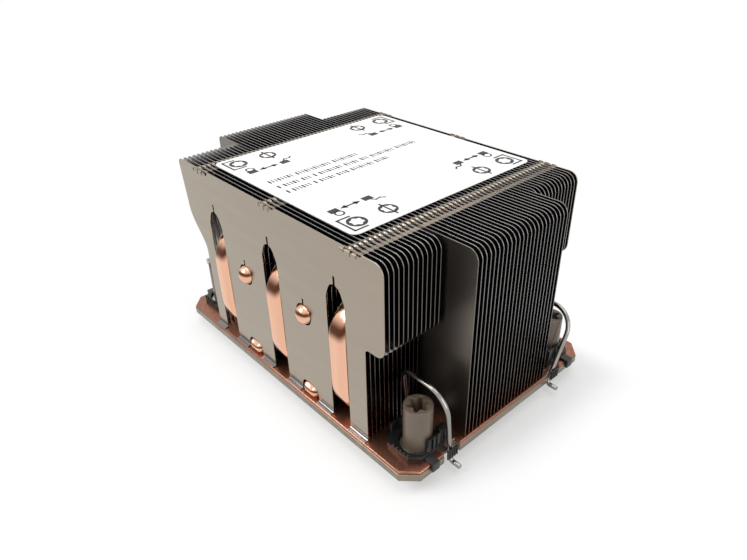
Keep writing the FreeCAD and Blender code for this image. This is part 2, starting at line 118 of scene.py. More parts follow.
# %% [markdown]
# ## Metals
#
# Rolled and drawn metal shows faint streaks along the way it was worked. An image could paint
# them, but a stretched noise texture needs no file, and Object coordinates keep it fixed to the
# metal. It drives a small change of colour and roughness. The real streaks are too fine to show,
# so these are drawn coarser.

# %% Streaked metal
# A Mix node keeps its two colours in these inputs, and their blend in this output.
MIX_A, MIX_B, MIX_RESULT = 6, 7, 2


def streaked_metal(name, base, other, roughness, spread, streak):
    """Two colours in streaks of this size in millimetres, and a roughness that follows them."""
    material, tree, shader = new_material(name, base, 1.0, roughness)
    place = add_node(tree, "ShaderNodeTexCoord")
    squeeze = add_node(tree, "ShaderNodeMapping", {"Vector": place.outputs["Object"],
                                                   "Scale": [1 / (size * MM) for size in streak]})
    noise = add_node(tree, "ShaderNodeTexNoise",
                     {"Vector": squeeze.outputs["Vector"], "Scale": 1.0, "Detail": 3.0}).outputs[0]
    blend = add_node(tree, "ShaderNodeMix",
                     {"Factor": noise, MIX_A: colour(base), MIX_B: colour(other)}, data_type="RGBA")
    rough = add_node(tree, "ShaderNodeMapRange", {"Value": noise, "To Min": roughness - spread,
                                                  "To Max": roughness + spread})
    tree.links.new(blend.outputs[MIX_RESULT], shader.inputs["Base Color"])
    tree.links.new(rough.outputs["Result"], shader.inputs["Roughness"])
    return material


print("Colours are mixed from inputs", MIX_A, "and", MIX_B)

# %% Sheet metal
SHEET_STREAK = (33.333, 33.333, 3.3333)
# Nickel-plated sheet aluminium: a warm grey, rolled so smooth that it mirrors softly.
face_metal = streaked_metal("nickel_plated_face_fin", "#A89D8F", "#A09587", 0.20, 0.03,
                            SHEET_STREAK)
# The same sheet between its neighbours, painted cooler and darker: painted shade of the narrow gaps
# between the fins.
shaded_fin_metal = streaked_metal("nickel_plated_inner_fin_painted_shade", "#8B8886", "#7F7C7B", 0.17, 0.03,
                           SHEET_STREAK)
# The first wide fin stands bare behind the corner notch, and looks brushed and duller; its darker colour
# is painted shade of the notch.
notch_fin_shaded_metal = streaked_metal("brushed_outer_fin_painted_shade", "#857D75", "#766E67", 0.33, 0.05, (5, 33.333, 5))
# The same sheet where the dies pressed it: a little brighter, in small uneven patches.
tab_metal = streaked_metal("pressed_fin_tab", "#B9AD9D", "#83796C", 0.20, 0.06,
                           (1.1111, 1.1111, 1.1111))
# Nickel-plated base, a little duller than the fins.
base_metal = streaked_metal("nickel_plated_base", "#9A8F80", "#7A7064", 0.34, 0.06,
                            (2, 16.667, 16.667))
print("Sheet metals made")

# %% Copper and steel
# Bare rolled copper sheet of the spreader, tarnished in small spots.
spreader_copper = streaked_metal("rolled_copper_sheet", "#C58A73", "#472619", 0.34, 0.12,
                                 (0.45455, 0.41667, 0.45455))
# Drawn copper tube: bright, pink and smooth.
pipe_copper = streaked_metal("drawn_copper_tube", "#F3C2A6", "#E6AF90", 0.15, 0.04, (2, 25, 25))
# Drawn spring steel wire: bright, with soft shades along its length.
wire_steel = streaked_metal("drawn_spring_steel", "#A9A7A2", "#7E7C78", 0.20, 0.04,
                            (16.667, 16.667, 16.667))
# Stamped steel washer: pale and satin.
washer_steel = streaked_metal("stamped_steel_washer", "#D8D4CC", "#C2BDB4", 0.35, 0.05,
                              (3.3333, 3.3333, 3.3333))
print("Copper and steel made")

# %% [markdown]
# ## Painted reflection at the bends
#
# On each pipe a dark band is painted where the copper turns upwards, at the upper bend and on the dome:
# a painted reflection.
# It could be painted on every pipe, but it follows the slope of the surface, so one mask made
# from the height of the normal serves them all.

# %% Painted reflection on the copper
# How far the normal points upwards where the band starts and where it stops: at none, at full.
BAND_BEGINS = (0.06, 0.30)
BAND_ENDS = (0.66, 0.38)


# Paints a dark reflection band into the colour where the normal points part way upwards.
def paint_slope_reflection(material, dark):
    tree = material.node_tree
    base_input = tree.nodes["Principled BSDF"].inputs["Base Color"]
    normal = add_node(tree, "ShaderNodeNewGeometry").outputs["Normal"]
    upwards = add_node(tree, "ShaderNodeSeparateXYZ", {"Vector": normal}).outputs["Z"]
    rise, fall = [add_node(tree, "ShaderNodeMapRange",
                           {"Value": upwards, "From Min": none, "From Max": full},
                           interpolation_type="SMOOTHSTEP") for none, full in (BAND_BEGINS, BAND_ENDS)]
    band = add_node(tree, "ShaderNodeMath",
                    {0: rise.outputs["Result"], 1: fall.outputs["Result"]}, operation="MULTIPLY")
    tint = add_node(tree, "ShaderNodeMix",
                    {"Factor": band.outputs["Value"], MIX_A: base_input.links[0].from_socket,
                     MIX_B: colour(dark)}, data_type="RGBA")
    tree.links.new(tint.outputs[MIX_RESULT], base_input)


# The pipe copper gets its painted reflection band at the bends and domes.
paint_slope_reflection(pipe_copper, "#5C3726")
print("Pipe copper has", len(pipe_copper.node_tree.nodes), "nodes")

# %% [markdown]
# ## Plastics and film
#
# The moulded retainers are black with a fine grain. The nuts are a tan high-temperature polymer.
# The label is a white film with dark print. A grain is too small to model, so a noise texture
# drives a bump, which only bends the light. It is drawn coarser than the real one, to show.


# %% Plastics and film
def grained_plastic(name, base, roughness, grain, depth):
    """A plastic whose grain has this width and depth in millimetres."""
    material, tree, shader = new_material(name, base, 0.0, roughness)
    place = add_node(tree, "ShaderNodeTexCoord")
    noise = add_node(tree, "ShaderNodeTexNoise", {"Vector": place.outputs["Object"],
                                                  "Scale": 1 / (grain * MM), "Detail": 4.0})
    bump = add_node(tree, "ShaderNodeBump", {"Height": noise.outputs[0], "Strength": 0.25,
                                             "Distance": depth * MM})
    tree.links.new(bump.outputs["Normal"], shader.inputs["Normal"])
    return material


# Black glass-filled polymer of the retainers: satin, with the grain of its mould.
retainer_black = grained_plastic("black_moulded_polymer", "#121214", 0.38, 0.4, 0.04)
# Tan high-temperature polymer of the captive nuts: smoother, so it catches small lights.
nut_tan = grained_plastic("tan_moulded_polymer", "#64574A", 0.26, 0.6667, 0.04)
# White printed film: matt, and only slightly uneven.
label_white = grained_plastic("white_label_film", "#F4F4F2", 0.45, 1.1111, 0.02)
# Its black ink, a little more matt.
label_ink = grained_plastic("black_label_ink", "#161618", 0.5, 1.1111, 0.01)
print("Plastics made")

# %% [markdown]
# ## Turning numbers into meshes
#
# Every piece that is made here ends as a plain mesh at the origin, rides on its CAD body and
# hides the CAD nodes it stands for. One function does that bookkeeping. Other helpers turn the
# faces outwards, bake modifiers, and lay a skin of faces over rings of points.


# %% Mesh bookkeeping
def finish_piece(obj, body, replaced=(), material=None, smooth_angle=None):
    if material is not None:
        obj.data.materials.clear()
        obj.data.materials.append(material)
    if smooth_angle is not None:
        for face in obj.data.polygons:
            face.use_smooth = True
        obj.data.set_sharp_from_angle(angle=math.radians(smooth_angle))
    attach(obj, body)
    if replaced:
        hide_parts(*replaced)
    return obj


def turn_outwards(obj):
    """Merges doubled points and turns every face outwards."""
    work = bmesh.new()
    work.from_mesh(obj.data)
    bmesh.ops.remove_doubles(work, verts=work.verts, dist=1e-7)
    bmesh.ops.recalc_face_normals(work, faces=work.faces)
    work.to_mesh(obj.data)
    work.free()


def link_object(name, data):
    obj = bpy.data.objects.new(name, data)
    bpy.context.collection.objects.link(obj)
    return obj


def mesh_object(name, vertices, faces):
    mesh = bpy.data.meshes.new(name)
    mesh.from_pydata([tuple(v) for v in vertices], [], faces)
    mesh.validate()
    obj = link_object(name, mesh)
    turn_outwards(obj)
    return obj


print("CAD nodes to dress:", len(nodes))


# %% Modifiers and skins
def evaluated_mesh(obj):
    bpy.context.view_layer.update()
    graph = bpy.context.evaluated_depsgraph_get()
    return bpy.data.meshes.new_from_object(obj.evaluated_get(graph))


def bake_modifiers(obj):
    """Swaps the object's mesh for its evaluated one and drops its modifiers."""
    mesh = evaluated_mesh(obj)
    obj.modifiers.clear()
    obj.data = mesh
    return obj


SHALLOW_FOLD = math.radians(35)


def bevel_edges(obj, width, segments=2):
    """Rounds every edge that is sharper than a shallow fold."""
    bevel = obj.modifiers.new("bevel", "BEVEL")
    bevel.width = width
    bevel.segments = segments
    bevel.limit_method = "ANGLE"
    bevel.angle_limit = SHALLOW_FOLD
    return bake_modifiers(obj)


def bevelled_copy(name, node, width, segments=2):
    """A merged copy of a CAD node with its sharp edges rounded."""
    obj = nodes[node].copy()
    obj.data = nodes[node].data.copy()
    obj.name = name
    obj.parent = None
    obj.matrix_world = Matrix.Identity(4)
    bpy.context.collection.objects.link(obj)
    turn_outwards(obj)
    return bevel_edges(obj, width, segments)


def skin(rings, sides, first=0, closed=False):
    """Faces over rings of points. A closed skin is a loop, and an open one gets two end faces."""
    faces = []
    for ring in range(rings if closed else rings - 1):
        here = first + ring * sides
        there = first + (ring + 1) % rings * sides
        for i in range(sides):
            j = (i + 1) % sides
            faces.append((here + i, here + j, there + j, there + i))
    if not closed:
        last = first + (rings - 1) * sides
        faces += [tuple(range(first, first + sides)), tuple(range(last, last + sides))]
    return faces


print("Faces of a closed box by the skin helper:", len(skin(2, 4)))

# %% [markdown]
# ## Base and spreader
#
# The plated base and the bare copper spreader are flat plates with broken edges. Their CAD mesh
# is right already, so a copy of it gets a small bevel, because an edge without one never catches
# the light as a real edge does.

# %% Base and spreader
PLATE_BEVEL = 0.12 * MM
SPREADER_BEVEL = 0.06 * MM
base = bevelled_copy("base_plate_dressed", "base_plate", PLATE_BEVEL)
finish_piece(base, ROOT, ["base_plate"], base_metal, smooth_angle=40)
spreader = bevelled_copy("spreader_dressed", "copper_spreader", SPREADER_BEVEL)
finish_piece(spreader, ROOT, ["copper_spreader"], spreader_copper, smooth_angle=40)
print("Faces of the flat pieces:", len(base.data.polygons), len(spreader.data.polygons))

# %% [markdown]
# ## Heat pipes
#
# A heat pipe is a sealed copper tube. It is pressed flat where it lies on the spreader and where
# it rises beside the fins, and round where it passes through them. A curve with a bevel would
# stay round all the way, so rings along the path make it: each ring is a circle that is pulled
# apart sideways by the flat.

# %% Heat pipe sizes
PIPE_RADIUS = 3.0 * MM
# In the fins a pipe is a hair slimmer than its CAD tube.
FREE_SHARE = 0.985
PRESSED_RADIUS = 2.15 * MM
# A pressed tube keeps its girth: what its round sides lose lies in its flat ones.
PRESSED_FLAT = math.pi * (PIPE_RADIUS - PRESSED_RADIUS) / 2
LOWER_BEND = 11.0 * MM
UPPER_BEND = 9.5 * MM
BEND_RINGS = 14
ROUNDING = 1.6 * MM
ROUNDING_RINGS = 6
RING_SIDES = 40
# The CAD tube has 12 sides, so its box ends this share of the radius from its axis.
CAD_REACH = math.cos(math.pi / 12)
# The lower end is pinched: millimetres along, share of the radius, and how deep the pinch is.
PINCHED_END = ((0, 0.22, 0.2), (0.156, 0.45, 0.5), (0.455, 0.66, 0.65), (0.91, 0.80, 0.6),
               (1.43, 0.9, 0.35), (2.34, 1.0, 0.0))
PINCHED_SETBACK = 1.0 * MM
# Even the smallest pinched ring keeps this share of the flat.
PINCHED_FLAT = 0.55
PINCH_WIDTH = PRESSED_RADIUS / 2
# The upper end is a dome: millimetres along, and share of the radius.
DOMED_END = ((0, FREE_SHARE), (0.48, 0.93), (0.84, 0.87), (1.44, 0.78), (1.92, 0.61),
             (2.232, 0.38), (2.4, 0.14))
print("Width of a pressed pipe:", 2 * (PRESSED_RADIUS + PRESSED_FLAT))


# %% Sweep and bend
def ease(share):
    """Runs from 0 to 1 with a soft start and a soft end."""
    return share * share * (3 - 2 * share)


def sweep(name, stations, across, place):
    """Rings along stations of (a, b, direction a, direction b, radius, flat, pinch)."""
    vertices = []
    for a, b, way_a, way_b, radius, flat, pinch in stations:
        centre = place(a, b)
        side = (place(a + way_a, b + way_b) - centre).cross(across)
        for step in range(RING_SIDES):
            angle = 2 * math.pi * (step + 0.5) / RING_SIDES
            pull = flat if math.cos(angle) > 0 else -flat
            aside = radius * math.cos(angle) + pull
            waist = 1 - pinch * math.exp(-(aside / PINCH_WIDTH) ** 2)
            vertices.append(centre + across * aside + side * radius * math.sin(angle) * waist)
    return mesh_object(name, vertices, skin(len(stations), RING_SIDES))


def bend(start_a, start_b, way, inward, radius, rings=BEND_RINGS):
    """Points and directions round a square bend in a plane."""
    found = []
    for step in range(rings + 1):
        angle = math.pi / 2 * step / rings
        along = radius * math.sin(angle)
        aside = radius * (1 - math.cos(angle))
        found.append((start_a + way[0] * along + inward[0] * aside,
                      start_b + way[1] * along + inward[1] * aside,
                      way[0] * math.cos(angle) + inward[0] * math.sin(angle),
                      way[1] * math.cos(angle) + inward[1] * math.sin(angle)))
    return found


print("Halfway through, a soft step is at", ease(0.5))


# %% Heat pipe builder
def pipe_stations(leg, tip, axis):
    """From the pinched end on the spreader, up the leg at this distance, to the domed end."""
    start = tip + PINCHED_SETBACK
    stations = [(start + along * MM, PRESSED_RADIUS, 1, 0, PRESSED_RADIUS * share,
                 PRESSED_FLAT * (PINCHED_FLAT + (1 - PINCHED_FLAT) * share), pinch)
                for along, share, pinch in PINCHED_END]
    path = bend(leg - LOWER_BEND, PRESSED_RADIUS, (1, 0), (0, 1), LOWER_BEND)
    path += bend(leg, axis - UPPER_BEND, (0, 1), (-1, 0), UPPER_BEND)
    stations += [(*point, PRESSED_RADIUS, PRESSED_FLAT, 0) for point in path]
    for step in range(1, ROUNDING_RINGS + 1):
        share = step / ROUNDING_RINGS
        radius = PRESSED_RADIUS + (PIPE_RADIUS * FREE_SHARE - PRESSED_RADIUS) * ease(share)
        stations.append((leg - UPPER_BEND - ROUNDING * share, axis, -1, 0, radius,
                         PRESSED_FLAT * (1 - ease(share)), 0))
    shoulder = tip + DOMED_END[-1][0] * MM
    return stations + [(shoulder - along * MM, axis, -1, 0, PIPE_RADIUS * share, 0, 0)
                       for along, share in DOMED_END]


def heat_pipe(node):
    low, high = size_of(node)
    x = (low.x + high.x) / 2
    sign, leg_face, tip = (-1, -low.y, -high.y) if "front" in node else (1, high.y, low.y)

    def place(a, b):
        return Vector((x, sign * a, DECK + b))

    stations = pipe_stations(leg_face - PRESSED_RADIUS * CAD_REACH, tip,
                             high.z - DECK - PIPE_RADIUS * CAD_REACH)
    pipe = sweep(node + "_tube", stations, Vector((1, 0, 0)), place)
    return finish_piece(pipe, ROOT, [node], pipe_copper, smooth_angle=50)


pipe_nodes = [node for node in nodes if node.startswith("heat_pipe")]
pipes = [heat_pipe(node) for node in pipe_nodes]
print("Heat pipes:", len(pipes), "faces in one", len(pipes[0].data.polygons))

# %% [markdown]
# ## Fins
#
# A fin is a thin plated sheet with openings for the pipes. Booleans could cut them out of a
# plate, but they leave untidy meshes. Instead the outline and its holes are drawn as a flat curve,
# which Blender fills.

# %% Fin sizes
FIN_THICKNESS = 0.3 * MM
WING_FINS = 13
MIDDLE_FINS = 24
FIN_COUNT = 2 * WING_FINS + MIDDLE_FINS
FIN_HEIGHT = FIN_TOP - DECK
middle_low, middle_high = size_of("middle_fins")
MIDDLE_HALF = middle_high.x
WING_HALF = size_of("front_wing_fins")[1].x
FIN_PITCH = (middle_high.y - middle_low.y - FIN_THICKNESS) / (MIDDLE_FINS - 1)
# The feet on the spreader, right and left of the middle.
FOOT_HALF = 39.3 * MM
LEFT_FOOT = 37.2 * MM
# On the right a wing steps out at this height, over the nut and its bail.
UNDERCUT = 31.0 * MM
FILLET = 1.5 * MM
CORNER = 3.0 * MM
# On the left its top corner is tighter, its edge leans in, and a long curve leads to the foot.
LEFT_CORNER = 1.5 * MM
LEAN = 1.5 * MM
LEFT_CURVE_TOP = 43.0 * MM
LEFT_CURVE_DROP = 15.0 * MM
LEFT_CURVE_STEPS = 12
# Above 1, the curve keeps to the edge for longer.
LEFT_CURVE_DELAY = 1.25
print("Fins:", FIN_COUNT, "pitch", FIN_PITCH)


# %% Fin outlines
def arc(centre_a, centre_b, radius, start, end, steps=8):
    angles = [math.radians(start + (end - start) * i / steps) for i in range(steps + 1)]
    return [(centre_a + radius * math.cos(a), centre_b + radius * math.sin(a)) for a in angles]


def outline_right(is_wing):
    """From the right foot up to the top."""
    reach = WING_HALF if is_wing else MIDDLE_HALF
    top = arc(reach - CORNER, FIN_HEIGHT - CORNER, CORNER, 0, 90)
    if not is_wing:
        return [(reach, 0.0)] + top
    inner = arc(FOOT_HALF + FILLET, UNDERCUT - FILLET, FILLET, 180, 90, steps=5)
    outer = arc(reach - CORNER, UNDERCUT + CORNER, CORNER, -90, 0, steps=6)
    return [(FOOT_HALF, 0.0)] + inner + outer + top


def outline_left(is_wing):
    """From the top down to the left foot."""
    reach = WING_HALF if is_wing else MIDDLE_HALF
    corner = arc(reach - LEFT_CORNER, FIN_HEIGHT - LEFT_CORNER, LEFT_CORNER, 0, 90)
    top = [(-a, b) for a, b in reversed(corner)]
    if not is_wing:
        return top + [(-reach, 0.0)]
    shoulder = reach - LEAN
    curve = []
    for step in range(LEFT_CURVE_STEPS + 1):
        share = step / LEFT_CURVE_STEPS
        inwards = (shoulder - LEFT_FOOT) * ease(share ** LEFT_CURVE_DELAY)
        curve.append((inwards - shoulder, LEFT_CURVE_TOP - LEFT_CURVE_DROP * share))
    return top + curve + [(-LEFT_FOOT, 0.0)]


print("Points in a wing's outline:", len(outline_right(True) + outline_left(True)))

# %% [markdown]
# ## Openings for the pipes
#
# A face fin is slotted from below where a leg rises, arched where a run lies on the spreader, and
# bored where a tip ends in it. Slots and bores have a short slit on top. A curve object could be
# drawn by hand for each, but a few numbers round a pipe's place follow the pipe when it moves.

# %% Opening sizes
SLOT_HALF = 3.7 * MM
SLOT_RISE = 8.2 * MM
# A slot's shoulder in millimetres: inwards from its side, and down from its crown.
SLOT_SHOULDER = ((0, 5.4), (0.12, 4.6), (1.2, 2.0), (2.0, 0.9))
# The slit on top of it: half its width, and upwards from the crown.
SLOT_SLIT = ((0.45, -0.3), (0.45, 1.9), (0.3, 2.2))
RUN_GAP = 0.35 * MM
TIP_HOLE = 3.3 * MM
TIP_SLIT_HALF = 0.45 * MM
TIP_SLIT_TOP = 5.0 * MM
print("Slot width:", 2 * SLOT_HALF)


# %% Openings
def leg_slot(x, height, wider=0.0):
    side = SLOT_HALF + wider
    crown = height + SLOT_RISE
    half = [(side, 0.0)] + [(side - a * MM, crown - b * MM) for a, b in SLOT_SHOULDER]
    half += [(a * MM, crown + b * MM) for a, b in SLOT_SLIT]
    return [(x - a, b) for a, b in half] + [(x + a, b) for a, b in reversed(half)]


def run_arch(x):
    radius = PRESSED_RADIUS + RUN_GAP
    left = arc(x - PRESSED_FLAT, PRESSED_RADIUS, radius, 180, 90)
    right = arc(x + PRESSED_FLAT, PRESSED_RADIUS, radius, 90, 0)
    return [(left[0][0], 0.0)] + left + right + [(right[-1][0], 0.0)]


def tip_hole(x, height):
    """Round hole with a short slit on top, as one outline."""
    turn = math.degrees(math.acos(TIP_SLIT_HALF / TIP_HOLE))
    ring = arc(x, height, TIP_HOLE, 180 - turn, 360 + turn, steps=28)
    slit_top = height + TIP_SLIT_TOP
    return [(x + TIP_SLIT_HALF, slit_top), (x - TIP_SLIT_HALF, slit_top)] + ring


def round_hole(x, height):
    return arc(x, height, PIPE_RADIUS, 0, 360, steps=24)[:-1]


def pipe_places(side):
    """Where the pipes of one side pass through the fins: x, and height over the deck."""
    boxes = [size_of(node) for node in pipe_nodes if side in node]
    return sorted(((low.x + high.x) / 2, high.z - DECK - PIPE_RADIUS * CAD_REACH)
                  for low, high in boxes)


def pipe_openings(rising, lying, wider=0.0):
    """Slots for the legs that rise in these fins, and arches for the runs that lie under them."""
    return [leg_slot(*pipe, wider) for pipe in rising] + [run_arch(x) for x, _ in lying]


front_pipes = pipe_places("front")
rear_pipes = pipe_places("rear")
print("Pipes in front:", len(front_pipes), "at the rear:", len(rear_pipes))


# %% Cutting a sheet
def cut_sheet(name, outlines, thickness, place):
    """A flat sheet with holes, filled by Blender's curve fill and then moved to its place."""
    curve = bpy.data.curves.new(name, "CURVE")
    curve.dimensions = "2D"
    curve.fill_mode = "BOTH"
    curve.extrude = thickness / 2
    for points in outlines:
        spline = curve.splines.new("POLY")
        spline.points.add(len(points) - 1)
        for point, (a, b) in zip(spline.points, points):
            point.co = (a, b, 0, 1)
        spline.use_cyclic_u = True
    drawn = link_object(name, curve)
    flat = evaluated_mesh(drawn)
    bpy.data.objects.remove(drawn)
    flat.transform(place)
    sheet = link_object(name, flat)
    turn_outwards(sheet)
    return sheet


UPRIGHT = Matrix.Translation((0, 0, DECK)) @ Matrix.Rotation(math.pi / 2, 4, "X")


def fin_sheet(name, is_wing, cut_outs, holes):
    foot = [point for cut_out in sorted(cut_outs) for point in cut_out]
    outline = foot + outline_right(is_wing) + outline_left(is_wing)
    return cut_sheet(name, [outline] + holes, FIN_THICKNESS, UPRIGHT)


print("Sheets are turned upright by", UPRIGHT.to_euler()[0])

# %% The six sheets
front_feet = pipe_openings(front_pipes, rear_pipes)
rear_feet = pipe_openings(rear_pipes, front_pipes)
# The left tab of the face fin was torn off, which leaves a small notch: x, and down from the top.
TORN_NOTCH = [(a * MM, FIN_HEIGHT - b * MM) for a, b in ((-30.9, 0.05), (-30.1, 2.0), (-28.8, 0.05))]
front_sheet = fin_sheet("front_sheet", True, front_feet,
                        [tip_hole(*pipe) for pipe in rear_pipes] + [TORN_NOTCH])
rear_sheet = fin_sheet("rear_sheet", True, rear_feet, [tip_hole(*pipe) for pipe in front_pipes])
# Behind the face fins the slots are a little wider, so their edges stay in the dark.
WIDER = 1.4 * MM
front_inner = fin_sheet("front_inner", True, pipe_openings(front_pipes, rear_pipes, WIDER),
                        [round_hole(*pipe) for pipe in rear_pipes])
rear_inner = fin_sheet("rear_inner", True, pipe_openings(rear_pipes, front_pipes, WIDER),
                       [round_hole(*pipe) for pipe in front_pipes])
# All other fins stand over the lying pipes in one low, wide opening.
RELIEF_GAP = 0.1 * MM
relief_half = front_pipes[-1][0] + PRESSED_RADIUS + PRESSED_FLAT + RELIEF_GAP
relief_rise = 2 * PRESSED_RADIUS + RELIEF_GAP
relief = [(-relief_half, 0.0), (-relief_half, relief_rise), (relief_half, relief_rise),
          (relief_half, 0.0)]
all_holes = [round_hole(*pipe) for pipe in front_pipes + rear_pipes]
wing_sheet = fin_sheet("wing_sheet", True, [relief], all_holes)
middle_sheet = fin_sheet("middle_sheet", False, [relief], all_holes)
print("Faces of a face fin and a middle fin:", len(front_sheet.data.polygons),
      len(middle_sheet.data.polygons))

# %% [markdown]
# ## The stacking tree
#
# The fins could be copied in a loop, but Geometry Nodes keep the count and the pitch as plain
# inputs. A mesh line gives the places, Instance on Points sets a sheet on each, Realize Instances
# makes them real geometry, and Set Material ends the tree with the finish.


# %% Stacking tree
def stacking_tree():
    tree = bpy.data.node_groups.new("fin_stack", "GeometryNodeTree")
    sockets = {}
    for label, kind in (("Sheet", "Object"), ("Count", "Int"), ("First", "Vector"),
                        ("Step", "Vector"), ("Finish", "Material")):
        sockets[label] = tree.interface.new_socket(label, in_out="INPUT",
                                                   socket_type="NodeSocket" + kind).identifier
    tree.interface.new_socket("Stack", in_out="OUTPUT", socket_type="NodeSocketGeometry")
    given = add_node(tree, "NodeGroupInput")
    sheet = add_node(tree, "GeometryNodeObjectInfo", {"Object": given.outputs["Sheet"]})
    line = add_node(tree, "GeometryNodeMeshLine",
                    {"Count": given.outputs["Count"], "Start Location": given.outputs["First"],
                     "Offset": given.outputs["Step"]}, mode="OFFSET")
    copies = add_node(tree, "GeometryNodeInstanceOnPoints",
                      {"Points": line.outputs["Mesh"], "Instance": sheet.outputs["Geometry"]})
    solid = add_node(tree, "GeometryNodeRealizeInstances", {"Geometry": copies.outputs["Instances"]})
    done = add_node(tree, "GeometryNodeSetMaterial",
                    {"Geometry": solid.outputs["Geometry"], "Material": given.outputs["Finish"]})
    add_node(tree, "NodeGroupOutput", {"Stack": done.outputs["Geometry"]})
    return tree, sockets


stack_tree, stack_sockets = stacking_tree()


def stack(name, sheet, count, first, material, replaced=()):
    """Copies of a sheet from this first place on, one pitch apart along y."""
    obj = link_object(name, bpy.data.meshes.new(name))
    modifier = obj.modifiers.new("fin_stack", "NODES")
    modifier.node_group = stack_tree
    given = {"Sheet": sheet, "Count": count, "First": first, "Step": (0, FIN_PITCH, 0),
             "Finish": material}
    for label, value in given.items():
        modifier[stack_sockets[label]] = value
    bake_modifiers(obj)
    return finish_piece(obj, ROOT, replaced)


def fin_y(index):
    return (index - (FIN_COUNT - 1) / 2) * FIN_PITCH


print("Inputs of the stacking tree:", list(stack_sockets))

# %% Stack the fins
# The bends of the legs reach this many fins deep, so those fins keep the face fin's tall slots.
SLOTTED = 7
PLAIN = WING_FINS - 1 - SLOTTED
# The fins between their neighbours wear the sheet with painted shade.
# From front to rear: name, sheet, count, finish, and the CAD nodes that the group stands for.
FIN_GROUPS = (("front_face_fin", front_sheet, 1, face_metal, ["front_fin"]),
              ("front_slotted_fins", front_inner, SLOTTED, shaded_fin_metal, ["front_wing_fins"]),
              ("front_plain_fins", wing_sheet, PLAIN, shaded_fin_metal, []),
              # The middle face fin wears a darker copy of the sheet: painted shade of the notch.
              ("middle_face_fin", middle_sheet, 1, notch_fin_shaded_metal, []),
              ("middle_fin_stack", middle_sheet, MIDDLE_FINS - 1, shaded_fin_metal, ["middle_fins"]),
              ("rear_plain_fins", wing_sheet, PLAIN, shaded_fin_metal, []),
              ("rear_slotted_fins", rear_inner, SLOTTED, shaded_fin_metal, ["rear_wing_fins"]),
              ("rear_face_fin", rear_sheet, 1, face_metal, ["rear_fin"]))
stacked = 0
for name, sheet, count, material, replaced in FIN_GROUPS:
    stack(name, sheet, count, (0, fin_y(stacked), 0), material, replaced)
    stacked += count
for sheet in (front_sheet, rear_sheet, front_inner, rear_inner, wing_sheet, middle_sheet):
    bpy.data.objects.remove(sheet)
print("Fins stacked:", stacked)

# %% [markdown]
# ## Feet of the face fins
#
# The two outermost fins are bent outwards at the bottom, where they are soldered to the copper.
# The foot is a narrow strip that is broken wherever a pipe passes. The sheet's mesh could be
# folded, but its fill has no edge there, so a small section is drawn out along x instead.

# %% Bent feet
# The outer side of a face fin, as a distance from the middle.
FACE = FIN_THICKNESS / 2 - fin_y(0)
# A foot's section in millimetres: outwards from the fin, and upwards from the deck.
FOOT_SECTION = ((1.2, 0), (1.2, 0.24), (1.14, 0.3), (0.5, 0.3), (0.2, 0.39), (0, 0.66), (0, 0))


def bent_feet(name, sign, openings):
    """Strips between the openings, given as the lists of their outline's points."""
    gaps = sorted((min(p[0] for p in points), max(p[0] for p in points)) for points in openings)
    starts = [-LEFT_FOOT] + [right for _, right in gaps]
    ends = [left for left, _ in gaps] + [FOOT_HALF]
    vertices, faces = [], []
    for start, end in zip(starts, ends):
        faces += skin(2, len(FOOT_SECTION), len(vertices))
        vertices += [(x, sign * (FACE + out * MM), DECK + up * MM)
                     for x in (start, end) for out, up in FOOT_SECTION]
    feet = mesh_object(name, vertices, faces)
    # The feet wear the fin sheet with painted shade.
    return finish_piece(feet, ROOT, [], shaded_fin_metal, smooth_angle=50)


bent_feet("front_fin_feet", -1, front_feet)
rear = bent_feet("rear_fin_feet", 1, rear_feet)
print("Faces of the rear feet:", len(rear.data.polygons))

# %% [markdown]
# ## Interlocking tabs
#
# Three rows of small tabs along the stack's top keep the fins at their pitch: each tab is folded
# over and hooks into the next fin. It could be folded out of each sheet, but then every fin would
# carry the detail. So one tab is drawn once, with its hole and its pressed bump, and the stacking
# tree repeats it in every gap.

# %% Tab sizes
TAB_ROWS = (-33.6 * MM, 0.95 * MM, 35.45 * MM)
TAB_HALF = 3.25 * MM
TAB_SINK = 0.42 * MM
TAB_THICKNESS = 0.25 * MM
TAB_GAP = 0.24 * MM
# The hooked edge from right to left in millimetres: x, and how far it stands back.
TAB_EDGE = ((3.25, 0.15), (2.95, 0), (1.9, 0), (1.6, 0.3), (0.3, 0.3), (0, 0), (-2.2, 0),
            (-2.5, 0.5), (-3.25, 0.5))
TAB_HOLE = ((0.55, -0.42), (1.35, -0.42), (1.35, 0.1), (0.55, 0.1))
BUMP_X = -1.0 * MM
BUMP_HALF_X, BUMP_HALF_Y = 1.2 * MM, 0.52 * MM
BUMP_SIDES = 12
# The bump's rings: share of its size, and height in millimetres.
BUMP_RINGS = ((1.0, -0.02), (0.8, 0.24), (0.45, 0.40))
print("Tab rows:", len(TAB_ROWS))


# %% Tab builder
def tab_piece(name):
    """A tab and its bump in one mesh, round the origin in the gap between two fins."""
    deep = FIN_PITCH / 2 - TAB_GAP
    outline = [(-TAB_HALF, -deep), (TAB_HALF, -deep)]
    outline += [(a * MM, deep - back * MM) for a, back in TAB_EDGE]
    hole = [(a * MM, b * MM) for a, b in TAB_HOLE]
    top = FIN_TOP - TAB_SINK
    sheet = cut_sheet(name, [outline, hole], TAB_THICKNESS,
                      Matrix.Translation((0, 0, top - TAB_THICKNESS / 2)))
    work = bmesh.new()
    work.from_mesh(sheet.data)
    points = []
    for share, lift in BUMP_RINGS:
        for step in range(BUMP_SIDES):
            angle = 2 * math.pi * step / BUMP_SIDES
            points.append(work.verts.new((BUMP_X + BUMP_HALF_X * share * math.cos(angle),
                                          BUMP_HALF_Y * share * math.sin(angle), top + lift * MM)))
    for corners in skin(len(BUMP_RINGS), BUMP_SIDES):
        work.faces.new([points[i] for i in corners])
    bmesh.ops.recalc_face_normals(work, faces=work.faces)
    work.to_mesh(sheet.data)
    work.free()
    return sheet


